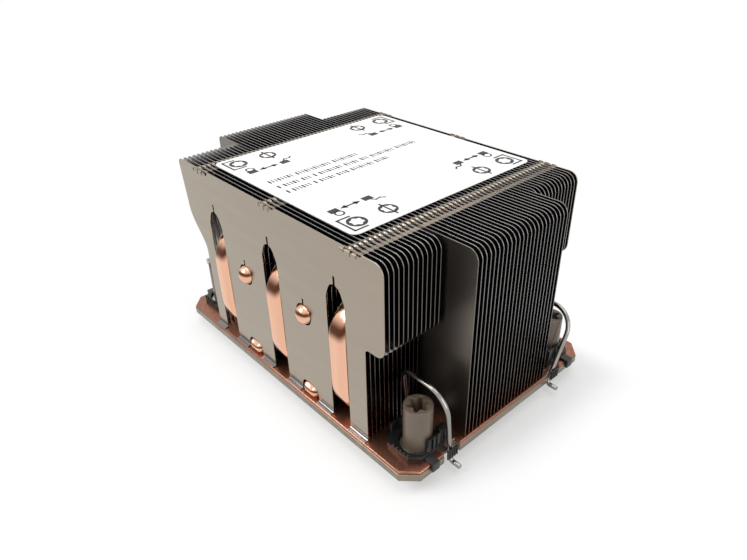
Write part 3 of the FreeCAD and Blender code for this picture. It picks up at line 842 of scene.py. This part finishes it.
tab = tab_piece("tab")
for row, row_x in enumerate(TAB_ROWS):
    tabs = stack("fin_tabs_%d" % row, tab, FIN_COUNT - 1, (row_x, fin_y(0) + FIN_PITCH / 2, 0),
                 tab_metal)
bpy.data.objects.remove(tab)
print("Tabs in a row:", FIN_COUNT - 1, "faces", len(tabs.data.polygons))

# %% [markdown]
# ## Crimps
#
# On the front and the rear face each tab row ends in three small rolls of sheet, curled down
# over the fin. A modifier could bend a strip, but an arc gives its points directly, and Solidify
# gives it the sheet's wall.

# %% Crimps on the face fins
# Each roll in millimetres: its middle, its width, and how far it reaches down.
CRIMP_ROLLS = ((-2.3, 1.5, 0.9), (-0.2, 1.9, 1.3), (2.1, 1.6, 1.0))
CRIMP_STEPS = 8
# The arc's first angle and its turn, in degrees.
CRIMP_START, CRIMP_TURN = -20, 200
CRIMP_OUT = 0.45 * MM
CRIMP_BULGE = 0.42 * MM
CRIMP_SINK = 0.05 * MM
CRIMP_WALL = 0.22 * MM
# A roll has its whole width at its belly, and this share of it a quarter turn away.
CRIMP_WAIST = 0.75


def crimp(name, row_x, sign):
    vertices, faces = [], []
    for centre, width, reach in CRIMP_ROLLS:
        first = len(vertices)
        for step in range(CRIMP_STEPS + 1):
            angle = math.radians(CRIMP_START + CRIMP_TURN * step / CRIMP_STEPS)
            y = sign * (FACE + CRIMP_OUT + CRIMP_BULGE * math.sin(angle))
            z = FIN_TOP - CRIMP_SINK - reach / 2 * MM * (1 - math.cos(angle))
            half = width / 2 * MM * (CRIMP_WAIST + (1 - CRIMP_WAIST) * math.sin(angle))
            middle = row_x + centre * MM
            vertices += [(middle - half, y, z), (middle + half, y, z)]
        for here in range(first, first + 2 * CRIMP_STEPS, 2):
            faces.append((here, here + 1, here + 3, here + 2))
    lip = mesh_object(name, vertices, faces)
    wall = lip.modifiers.new("wall", "SOLIDIFY")
    wall.thickness = CRIMP_WALL
    wall.offset = 0
    bake_modifiers(lip)
    return finish_piece(lip, ROOT, [], tab_metal, smooth_angle=40)


for row, row_x in enumerate(TAB_ROWS):
    crimp("front_crimp_%d" % row, row_x, -1)
    lip = crimp("rear_crimp_%d" % row, row_x, 1)
print("Faces of a crimp:", len(lip.data.polygons))

# %% [markdown]
# ## Nuts
#
# A captive nut is a moulded body on a hollow shank, with a broken top edge and a six-lobe socket.
# Spinning a profile could make the outside, but not the socket. So rings make one closed skin,
# from the bore's end up, over the rim, down the outside and into the shank, and the socket's
# rings swing in and out six times.

# %% Nut sizes
TURN_STEPS = 72
LOBES = 6
SOCKET_RADIUS = 2.45 * MM
SOCKET_LOBE = 0.56 * MM
SOCKET_DEPTH = 5.5 * MM
# The nut's body sits this far above the deck, on its washer.
NUT_SEAT = 0.68 * MM
# Lists in millimetres. The bore under the socket: radius, and down from the socket's floor.
NUT_BORE = ((0.02, 2.2), (0.95, 2.0), (0.95, 0))
# The socket: share of its size, up from its floor or down from the top.
SOCKET_FLOOR = ((0.9, 0), (1.0, 0.3))
SOCKET_RIM = ((1.0, 0.2), (1.06, 0))
# The rim: inwards from the body's side, and down from the top.
NUT_RIM = ((0.35, 0), (0.1, 0.1), (0, 0.5))
# The shoulder: inwards from the body's side, and up from the seat.
NUT_SHOULDER = ((0, 0.25), (0.2, 0))
SHANK_RADIUS = 3.2
# The shank's end and the hole in it: radius, and up from the low end.
SHANK_HOLE = ((SHANK_RADIUS, 0), (2.1, 0), (2.1, 9.0), (0.02, 9.6))
print("Socket across its lobes:", 2 * (SOCKET_RADIUS + SOCKET_LOBE))


# %% Nut builder
def turned(name, axis, rings, closed=False):
    """A shape round an upright axis, from rings of (radius, swing of the lobes, height)."""
    vertices = []
    for radius, swing, z in rings:
        for step in range(TURN_STEPS):
            angle = 2 * math.pi * step / TURN_STEPS
            reach = radius + swing * math.cos(LOBES * angle)
            vertices.append((axis.x + reach * math.cos(angle), axis.y + reach * math.sin(angle), z))
    return mesh_object(name, vertices, skin(len(rings), TURN_STEPS, closed=closed))


def captive_nut(corner):
    node = "nut_" + corner
    low, high = size_of(node)
    body = (high.x - low.x) / 2
    seat = DECK + NUT_SEAT
    floor_z = high.z - SOCKET_DEPTH
    socket = [(share, floor_z + up * MM) for share, up in SOCKET_FLOOR]
    socket += [(share, high.z - down * MM) for share, down in SOCKET_RIM]
    rings = [(radius * MM, 0, floor_z - down * MM) for radius, down in NUT_BORE]
    rings += [(SOCKET_RADIUS * share, SOCKET_LOBE * share, z) for share, z in socket]
    rings += [(body - inwards * MM, 0, high.z - down * MM) for inwards, down in NUT_RIM]
    rings += [(body - inwards * MM, 0, seat + up * MM) for inwards, up in NUT_SHOULDER]
    rings += [(SHANK_RADIUS * MM, 0, seat)]
    rings += [(radius * MM, 0, low.z + up * MM) for radius, up in SHANK_HOLE]
    nut = turned(node + "_moulded", (low + high) / 2, rings)
    return finish_piece(nut, node, [node], nut_tan, smooth_angle=35)


print("Points round a turned ring:", TURN_STEPS)

# %% [markdown]
# ## Washers
#
# Under each nut lies a stamped steel washer. Its CAD ring has sharp edges, so a small section
# with broken corners is turned round the nut's axis into a closed loop.

# %% Washer builder, nuts and washers
# Round the section in millimetres: radius, and up from the deck.
WASHER_SECTION = ((3.4, 0.1), (3.5, 0), (4.7, 0), (4.8, 0.1), (4.8, 0.5), (4.7, 0.6), (3.5, 0.6),
                  (3.4, 0.5))


def washer_ring(corner):
    low, high = size_of("nut_" + corner)
    rings = [(radius * MM, 0, DECK + up * MM) for radius, up in WASHER_SECTION]
    washer = turned("washer_" + corner, (low + high) / 2, rings, closed=True)
    # The four washers are one CAD node, so the first of them stands for it.
    replaced = ["washers"] if corner == "front_right" else []
    return finish_piece(washer, ROOT, replaced, washer_steel, smooth_angle=30)


for corner in CORNERS:
    nut = captive_nut(corner)
    washer = washer_ring(corner)
print("Faces of a nut and a washer:", len(nut.data.polygons), len(washer.data.polygons))

# %% [markdown]
# ## Wire bails
#
# A bail is bent from one length of spring wire: two legs, a top bar, one wide and one tight
# corner, and feet that turn away from each other below the deck. A curve with a bevel would do,
# and so does the pipes' sweep, with no flat. The wire is swept upright and then tilted about its
# hinge to the lean that its CAD node has.

# %% Bail sizes
WIRE = 0.7 * MM
HINGE_Y = 23.0 * MM
HINGE_Z = DECK - 1.5 * MM
BAIL_TOP = 20.0 * MM
OUTER_LEG = 55.5 * MM
INNER_LEG = 40.3 * MM
FOOT_DROP = 3.5 * MM
OUTER_FOOT, INNER_FOOT = 3.6 * MM, 3.4 * MM
WIDE_CORNER, TIGHT_CORNER, FOOT_CORNER = 7.0 * MM, 2.5 * MM, 1.3 * MM
WIRE_BEND_RINGS = 8
# The cut ends of the wire are rounded over this length, down to this share of its radius.
WIRE_ROUND = 0.12 * MM
WIRE_END = 0.8
LEANS = {"front_right": 6.0, "front_left": 25.0, "rear_right": 25.0, "rear_left": 18.0}
print("Legs apart:", OUTER_LEG - INNER_LEG)


# %% Bail builder
def wire_path():
    """The bail's centre line from the outer foot to the inner foot."""
    corners = [(OUTER_LEG + OUTER_FOOT, -FOOT_DROP, 0), (OUTER_LEG, -FOOT_DROP, FOOT_CORNER),
               (OUTER_LEG, BAIL_TOP, WIDE_CORNER), (INNER_LEG, BAIL_TOP, TIGHT_CORNER),
               (INNER_LEG, -FOOT_DROP, FOOT_CORNER), (INNER_LEG - INNER_FOOT, -FOOT_DROP, 0)]
    points = [Vector((a, b)) for a, b, _ in corners]
    path = [(*points[0], *(points[1] - points[0]).normalized())]
    for before, here, after, (_, _, radius) in zip(points, points[1:], points[2:], corners[1:]):
        into = (here - before).normalized()
        out = (after - here).normalized()
        path += bend(*(here - into * radius), into, out, radius, WIRE_BEND_RINGS)
    return path + [(*points[-1], *out)]


def wire_bail(corner):
    sign_x, sign_y = CORNERS[corner]
    hinge = Vector((0, sign_y * HINGE_Y, HINGE_Z))
    tilt = Matrix.Rotation(math.radians(-sign_y * LEANS[corner]), 3, "X")

    def place(a, b):
        return hinge + tilt @ Vector((sign_x * a, 0, b))

    (start, *begin), *middle, (end, *finish) = wire_path()
    stations = [(start, *begin, WIRE * WIRE_END, 0, 0), (start - WIRE_ROUND, *begin, WIRE, 0, 0)]
    stations += [(*point, WIRE, 0, 0) for point in middle]
    stations += [(end + WIRE_ROUND, *finish, WIRE, 0, 0), (end, *finish, WIRE * WIRE_END, 0, 0)]
    bail = sweep("bail_" + corner + "_wire", stations, tilt @ Vector((0, 1, 0)), place)
    return finish_piece(bail, "bail_" + corner, ["bail_" + corner], wire_steel, smooth_angle=50)


for corner in CORNERS:
    bail = wire_bail(corner)
print("Faces of a bail:", len(bail.data.polygons))

# %% [markdown]
# ## Retainers
#
# The retainers are moulded clips. They could be built again with soft corners, but their CAD mesh
# has the form already, so a small bevel gives them the edges that come out of a mould.

# %% Retainers
MOULD_BEVEL = 0.14 * MM
for corner in CORNERS:
    clip = bevelled_copy("retainer_" + corner + "_moulded", "retainer_" + corner, MOULD_BEVEL)
    finish_piece(clip, ROOT, ["retainer_" + corner], retainer_black, smooth_angle=40)
print("Faces of a retainer:", len(clip.data.polygons))

# %% [markdown]
# ## Retainer cheeks
#
# Outside each bail's outer leg the moulding has a ribbed cheek that laps over the plate's end and
# hides the hinge. It is a comb-like wall, so Geometry Nodes could repeat its ribs, but with four
# ribs a loop over boxes is shorter.

# %% Cheeks
# The wall's range along x, y and z in millimetres, in the corner where x and y are positive.
CHEEK_X, CHEEK_Y, CHEEK_Z = (56.35, 56.85), (21.2, 25.0), (4.3, 7.3)
RIBS = 4
RIB_STEP = 0.85
# The first rib's range: it starts at the wall's outer side.
RIB_X, RIB_Y, RIB_Z = (56.85, 57.1), (21.4, 21.75), (4.5, 7.1)
CHEEK_BEVEL = 0.1 * MM


def retainer_cheek(corner):
    sign_x, sign_y = CORNERS[corner]
    boxes = [(CHEEK_X, CHEEK_Y, CHEEK_Z)]
    boxes += [(RIB_X, [y + rib * RIB_STEP for y in RIB_Y], RIB_Z) for rib in range(RIBS)]
    vertices, faces = [], []
    for (left, right), (near, far), heights in boxes:
        faces += skin(2, 4, len(vertices))
        vertices += [(sign_x * x * MM, sign_y * y * MM, z * MM) for z in heights
                     for x, y in ((left, near), (right, near), (right, far), (left, far))]
    cheek = mesh_object("retainer_cheek_" + corner, vertices, faces)
    bevel_edges(cheek, CHEEK_BEVEL)
    return finish_piece(cheek, ROOT, [], retainer_black, smooth_angle=40)


for corner in CORNERS:
    cheek = retainer_cheek(corner)
print("Faces of a cheek:", len(cheek.data.polygons))

# %% [markdown]
# ## Label
#
# The label is a white film on the fins. Its print is generic: arrows, rings, outlines of a driver
# bit and plain bars. An image could carry it, but flat shapes just above the film stay sharp at
# any distance.

# %% Label film
FILM_BEVEL = 0.04 * MM
# The film sits a hair lower than its node, so that the print on it stays inside the node's box.
INK_LIFT = 0.03 * MM
INK_SINK = 0.001 * MM
label_low, label_high = size_of("label")
LABEL_MIDDLE = (label_low + label_high) / 2
label = bevelled_copy("label_film", "label", FILM_BEVEL, 1)
for vertex in label.data.vertices:
    vertex.co.z -= INK_LIFT
finish_piece(label, ROOT, ["label"], label_white)
ink_vertices, ink_faces = [], []
print("Label size:", label_high.x - label_low.x, label_high.y - label_low.y)


# %% Label marks
def ink_shape(points, centre, turn=0.0):
    """A flat filled shape in millimetres, turned and set round a centre on the label."""
    first = len(ink_vertices)
    cos, sin = math.cos(turn), math.sin(turn)
    for u, v in points:
        x = LABEL_MIDDLE.x + (centre[0] + u * cos - v * sin) * MM
        y = LABEL_MIDDLE.y + (centre[1] + u * sin + v * cos) * MM
        ink_vertices.append((x, y, label_high.z - INK_SINK))
    ink_faces.append(tuple(range(first, len(ink_vertices))))


def ink_bar(centre, length, width, turn=0.0):
    a, b = length / 2, width / 2
    ink_shape([(-a, -b), (a, -b), (a, b), (-a, b)], centre, turn)


def ink_line(points, width):
    """A bent line of even width through its points."""
    for (a, b), (c, d) in zip(points, points[1:]):
        length = math.hypot(c - a, d - b)
        ink_bar(((a + c) / 2, (b + d) / 2), length + width, width, math.atan2(d - b, c - a))


def ink_ring(centre, outer, inner, sides=36, lobe=0.0):
    """A ring. A lobe gives its inner edge the six-lobe outline of a driver bit."""
    for i in range(sides):
        quad = []
        for k, inside in ((i, False), (i + 1, False), (i + 1, True), (i, True)):
            angle = 2 * math.pi * k / sides
            r = inner * (1 + lobe * math.cos(LOBES * angle)) if inside else outer
            quad.append((r * math.cos(angle), r * math.sin(angle)))
        ink_shape(quad, centre)


print("The ink lies at", label_high.z - INK_SINK)

# %% [markdown]
# ## Marks in the label's corners
#
# The same marks stand in all four corners, mirrored: a ring in a frame, a ring on a bar, and a
# double arrow between the two positions of a lever. They could be listed four times, but one
# function draws them for the positive corner and mirrors each place.

# %% Corner marks
# All in millimetres. Rings have an outer and an inner radius, and bars a length and a width.
LINE, FINE_LINE = 0.62, 0.5
BIT = {"sides": 48, "lobe": 0.13}
NUT_U, NUT_V, NUT_RING = 27.0, 28.6, (2.75, 1.75)
NUT_FRAME = ((-3.5, -0.4), (-3.5, 3.5), (3.5, 3.5), (3.5, -0.4))
SLOT_V, SLOT_RING, SLOT_BAR = 18.2, (2.65, 1.8), (7.4, 0.6)
LEVER_U, LEVER_V = 18.5, 23.5
ARROW_SHAFT = 4.2
ARROW_HEAD = ((-1.0, 1.3), (1.0, 1.3), (0, 3.4))
# At each end of the lever's way is a short block, with an eye or a bent foot beside it.
BLOCK, BLOCK_UP, BLOCK_DOWN = (2.2, 3.0), 5.5, 5.7
EYE_U, EYE_V, EYE_RING = 2.0, 5.2, (1.45, 0.95)
LEVER_FOOT = ((1.1, -6.0), (2.2, -6.9), (1.9, -8.6), (2.8, -9.6))


def corner_marks(sign_u, sign_v):
    def at(u, v):
        return sign_u * u, sign_v * v

    ink_ring(at(NUT_U, NUT_V), *NUT_RING, **BIT)
    ink_line([at(NUT_U + u, NUT_V + v) for u, v in NUT_FRAME], LINE)
    ink_ring(at(NUT_U, SLOT_V), *SLOT_RING, **BIT)
    ink_bar(at(NUT_U, SLOT_V), *SLOT_BAR)
    lever = at(LEVER_U, LEVER_V)
    ink_bar(lever, ARROW_SHAFT, LINE, math.pi / 2)
    ink_shape(ARROW_HEAD, lever)
    ink_shape(ARROW_HEAD, lever, math.pi)
    ink_bar(at(LEVER_U, LEVER_V + BLOCK_UP), *BLOCK)
    ink_ring(at(LEVER_U + EYE_U, LEVER_V + EYE_V), *EYE_RING)
    ink_bar(at(LEVER_U, LEVER_V - BLOCK_DOWN), *BLOCK)
    ink_line([at(LEVER_U + u, LEVER_V + v) for u, v in LEVER_FOOT], FINE_LINE)


for sign_v in (1, -1):
    for sign_u in (1, -1):
        corner_marks(sign_u, sign_v)
print("Marks in the corners:", len(ink_faces))

# %% [markdown]
# ## Rows of print
#
# Between the corners run three rows of small print. A text object could set it, but nothing
# needs to be read there. So each word is a group of ticks, every third one thicker.

# %% Rows of ticks
TICK_STEP = 1.05
TICK_HEIGHT = 2.0
THIN_TICK, THICK_TICK = 0.36, 0.62
WORD_GAP = 0.9
ROW_START = -30.0
# Each row's place across the label, and the number of ticks in each of its words.
ROWS = ((-8.4, (8, 12, 9)), (-3.9, (1, 5, 3, 1, 8, 5, 3, 9, 8)), (0.4, (1, 6, 1, 5, 4, 8, 5)))
for row_u, words in ROWS:
    start = ROW_START
    for ticks in words:
        for i in range(ticks):
            ink_bar((row_u, start + i * TICK_STEP), TICK_HEIGHT, THIN_TICK if i % 3 else THICK_TICK)
        start += (ticks + WORD_GAP) * TICK_STEP
marks = mesh_object("label_marks", ink_vertices, ink_faces)
for face in marks.data.polygons:
    if face.normal.z < 0:
        face.flip()
finish_piece(marks, ROOT, [], label_ink)
print("Label marks:", len(ink_faces))

# %% [markdown]
# ## Backdrop
#
# The part stands on a pale floor before a white backdrop. Stronger lamps could turn both white,
# but they would bleach the part. So only the rays that show the backdrop, directly, in a mirror
# or through glass, find it white, and its real light stays low.


# %% Rays that show the backdrop
def backdrop_rays(tree):
    """One where a ray is seen directly, in a mirror or through glass, and nought elsewhere."""
    ray = add_node(tree, "ShaderNodeLightPath")
    seen = ray.outputs["Is Camera Ray"]
    for kind in ("Is Glossy Ray", "Is Transmission Ray"):
        seen = add_node(tree, "ShaderNodeMath", {0: seen, 1: ray.outputs[kind]},
                        operation="MAXIMUM").outputs[0]
    return seen


print("Backdrop helper ready")

# %% [markdown]
# ## Floor
#
# The floor keeps the part's shadow: near the plate more than half of what shows is its own
# shaded surface, and further out it fades into white. A shadow catcher would need compositing,
# so the material fades by the distance from the plate instead.

# %% Floor
NEAR_SHARE = 0.42
# Distances are counted in plates: 1 is the plate's edge, and the shadow fades out beyond it.
PLATE_HALF_X, PLATE_HALF_Y = 59.1 * MM, 39.4 * MM
FADE_START, FADE_END = 1.02, 1.28
CORNER_BLEND = 0.3
FLOOR_SIZE = 4.0
# The floor lies just below the part, so that the two never share a plane.
FLOOR_DROP = 0.5 * MM
material, tree, shader = new_material("backdrop_white", "#F4F4F4", 0.0, 0.9)
place = add_node(tree, "ShaderNodeTexCoord")
apart = add_node(tree, "ShaderNodeVectorMath", {0: place.outputs["Object"]}, operation="ABSOLUTE")
plates = add_node(tree, "ShaderNodeVectorMath",
                  {0: apart.outputs["Vector"], 1: (1 / PLATE_HALF_X, 1 / PLATE_HALF_Y, 0)},
                  operation="MULTIPLY")
sides = add_node(tree, "ShaderNodeSeparateXYZ", {"Vector": plates.outputs["Vector"]})
distance = add_node(tree, "ShaderNodeMath",
                    {0: sides.outputs["X"], 1: sides.outputs["Y"], 2: CORNER_BLEND},
                    operation="SMOOTH_MAX")
fade = add_node(tree, "ShaderNodeMapRange",
                {"Value": distance.outputs["Value"], "From Min": FADE_START, "From Max": FADE_END,
                 "To Min": NEAR_SHARE, "To Max": 1.0}, interpolation_type="SMOOTHSTEP")
share = add_node(tree, "ShaderNodeMath", {0: fade.outputs["Result"], 1: backdrop_rays(tree)},
                 operation="MULTIPLY")
white = add_node(tree, "ShaderNodeEmission", {"Color": colour("#FFFFFF"), "Strength": 1.0})
blend = add_node(tree, "ShaderNodeMixShader", {0: share.outputs[0], 1: shader.outputs["BSDF"],
                                               2: white.outputs["Emission"]})
tree.links.new(blend.outputs[0], tree.nodes["Material Output"].inputs["Surface"])
bpy.ops.mesh.primitive_plane_add(size=FLOOR_SIZE, location=(0, 0, -FLOOR_DROP))
floor = bpy.context.object
floor.name = "floor"
floor.data.materials.append(material)
print("Floor laid:", floor.dimensions.x, "metres wide")

# %% [markdown]
# ## World
#
# The world is the soft light from all sides. An image of a studio could light the part too, but a
# plain colour is enough here. It lights at about a third of full strength, so that the sides keep
# their shade, while the rays that show it find it white.

# %% World
SOFT_STRENGTH = 0.35
world = bpy.data.worlds.new("studio")
bpy.context.scene.world = world
world.use_nodes = True
tree = world.node_tree
tree.nodes.clear()
soft, plain = [add_node(tree, "ShaderNodeBackground", {"Color": colour("#FFFFFF"), "Strength": strength})
               for strength in (SOFT_STRENGTH, 1.0)]
seen = add_node(tree, "ShaderNodeMixShader",
                {0: backdrop_rays(tree), 1: soft.outputs[0], 2: plain.outputs[0]})
add_node(tree, "ShaderNodeOutputWorld", {"Surface": seen.outputs[0]})
print("World ready")

# %% [markdown]
# ## Lamps
#
# Three area lamps light the part: a key from the front left, a wide one above, and a weak one on
# the right. Point lamps would draw hard shadows and hot spots on the metal, and wide lamps give
# it long, soft highlights.

# %% Lamps
LAMP_TARGET = Vector((0, 0, 0.03))


def area_light(name, place, size, power):
    """A rectangular lamp that looks at the middle of the part."""
    data = bpy.data.lights.new(name, "AREA")
    data.shape = "RECTANGLE"
    data.size, data.size_y = size
    data.energy = power
    lamp = link_object(name, data)
    lamp.location = place
    lamp.rotation_euler = (Vector(place) - LAMP_TARGET).to_track_quat("Z", "Y").to_euler()
    return lamp


lamps = [area_light("key", (-0.25, -0.55, 0.55), (0.5, 0.4), 4.2),
         area_light("top", (0.0, 0.1, 0.8), (0.8, 0.8), 3.2),
         area_light("right", (0.7, -0.05, 0.25), (0.4, 0.5), 1.5)]
print("Lamps:", len(lamps), "power", sum(lamp.data.energy for lamp in lamps))

# %% [markdown]
# ## Camera
#
# The camera looks down at the front right corner from close by. It could be placed by hand, but
# two angles, a target and a distance are easier to read and to change. A small roll tilts it.

# %% Camera
AZIMUTH, ELEVATION, ROLL = math.radians(48.67), math.radians(31.61), math.radians(-1.43)
TARGET = Vector((22.76 * MM, -19.5 * MM, 42.59 * MM))
DISTANCE = 168.2 * MM
back = Vector((math.sin(AZIMUTH) * math.cos(ELEVATION), -math.cos(AZIMUTH) * math.cos(ELEVATION),
               math.sin(ELEVATION)))
camera = link_object("camera", bpy.data.cameras.new("camera"))
camera.data.sensor_width = 36
camera.data.lens = 30.0
camera.data.clip_start = 5 * MM
camera.location = TARGET + back * DISTANCE
camera.rotation_euler = (back.to_track_quat("Z", "Y").to_matrix()
                         @ Matrix.Rotation(ROLL, 3, "Z")).to_euler()
bpy.context.scene.camera = camera
bpy.context.scene.view_settings.view_transform = "Standard"
print("Camera at", tuple(camera.location))
